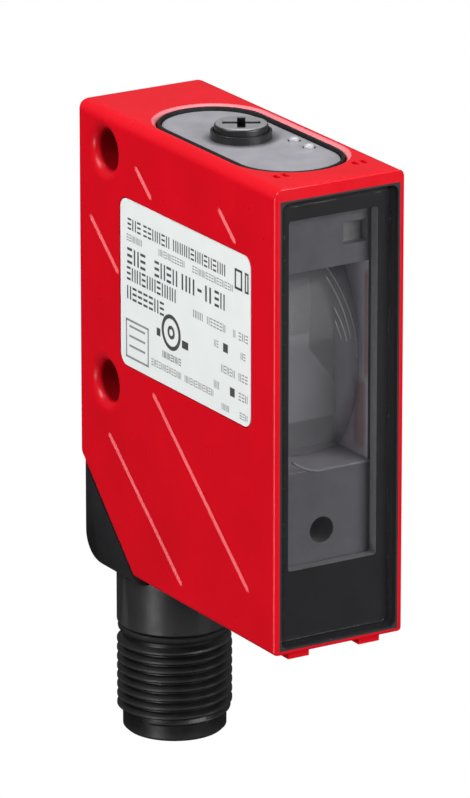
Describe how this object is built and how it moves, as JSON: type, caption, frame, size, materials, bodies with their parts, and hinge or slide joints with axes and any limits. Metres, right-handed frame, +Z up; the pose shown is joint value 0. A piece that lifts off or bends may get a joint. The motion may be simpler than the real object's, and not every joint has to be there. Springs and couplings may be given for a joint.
{
  "type": "photoelectric sensor",
  "caption": "Slim block-shaped optical sensor with a front window, screwed control cover on top and a swivelling threaded round plug.",
  "frame": {"origin": "midway between the two mounting holes, on the right-hand side face", "axes": "+X is the right-hand side face's outward normal (across the width), +Y points backwards from the window, so the light leaves along -Y, and +Z points up to the control cover"},
  "size_m": [0.015, 0.0379, 0.0679],
  "materials": {
    "red_enamel": "satin enamel on die-cast zinc",
    "white_label": "matt printed film",
    "dark_glass": "polished, smoke tinted",
    "black_plastic": "fine satin",
    "black_rubber": "matt",
    "grey_moulding": "fine eroded",
    "clear_acrylic": "polished",
    "polariser_film": "polished film",
    "splitter_coating": "half-silvered",
    "dark_package": "moulded package",
    "board_laminate": "green solder mask",
    "tinned_steel": "tinned",
    "green_lens": "clear tinted",
    "yellow_lens": "clear tinted",
    "ivory_plastic": "satin",
    "smoke_cover": "smoke-grey, half clear",
    "dark_steel": "blackened",
    "brass": "turned",
    "gold_plate": "gold plated",
    "ribbon_film": "amber film"
  },
  "bodies": {
    "sensor_body": {"housing": "red_enamel", "type_label": "white_label", "front_window": "dark_glass", "window_frame": "black_plastic", "window_seal": "black_rubber", "optics_carrier": "grey_moulding", "main_lens": "clear_acrylic", "polarising_filter": "polariser_film", "beam_splitter": "splitter_coating", "emitter_led": "clear_acrylic", "receiver_photodiode": "dark_package", "main_board": "board_laminate", "board_screw_1": "tinned_steel", "board_screw_2": "tinned_steel", "processor_chip": "dark_package", "receiver_shield": "tinned_steel", "control_board": "board_laminate", "green_led": "green_lens", "yellow_led": "yellow_lens", "trimmer_body": "dark_package", "mode_switch_body": "dark_package", "cover_seal": "black_rubber", "threaded_insert": "brass", "swivel_seal": "black_rubber", "connector_flex": "ribbon_film"},
    "plug": {"connector_elbow": "black_plastic", "contact_carrier": "black_plastic", "contact_pin_1": "gold_plate", "contact_pin_2": "gold_plate", "contact_pin_3": "gold_plate", "contact_pin_4": "gold_plate", "connector_oring": "black_rubber", "swivel_retainer": "tinned_steel"},
    "cover": {"control_cover": "smoke_cover", "light_pipe_green": "clear_acrylic", "light_pipe_yellow": "clear_acrylic", "screw_oring": "black_rubber"},
    "captive_screw": {"cover_screw": "dark_steel"},
    "trimmer": {"trimmer_rotor": "ivory_plastic"},
    "mode_switch": {"mode_switch_rotor": "ivory_plastic"}
  },
  "joints": [
    {"name": "plug_swivel", "type": "hinge", "parent": "sensor_body", "child": "plug", "pos_m": [-0.0075, 0, -0.02635], "axis": [0, 0.7071, -0.7071], "range_deg": [0, 180]},
    {"name": "cover_lift", "type": "slide", "parent": "sensor_body", "child": "cover", "axis": [0, 0, 1], "range_m": [0, 0.0025]},
    {"name": "cover_screw_turn", "type": "hinge", "parent": "cover", "child": "captive_screw", "pos_m": [-0.0075, -0.01415, 0.0175], "axis": [0, 0, 1], "range_deg": [0, 1800]},
    {"name": "trimmer_turn", "type": "hinge", "parent": "sensor_body", "child": "trimmer", "pos_m": [-0.0075, -0.02325, 0.0125], "axis": [0, 0, 1], "range_deg": [-135, 135]},
    {"name": "mode_switch_turn", "type": "hinge", "parent": "sensor_body", "child": "mode_switch", "pos_m": [-0.0075, -0.00755, 0.0125], "axis": [0, 0, 1], "range_deg": [0, 90]}
  ],
  "couplings": [
    {"joint": "cover_screw_turn", "follows": "cover_lift", "rad_per_m": 12566}
  ]
}
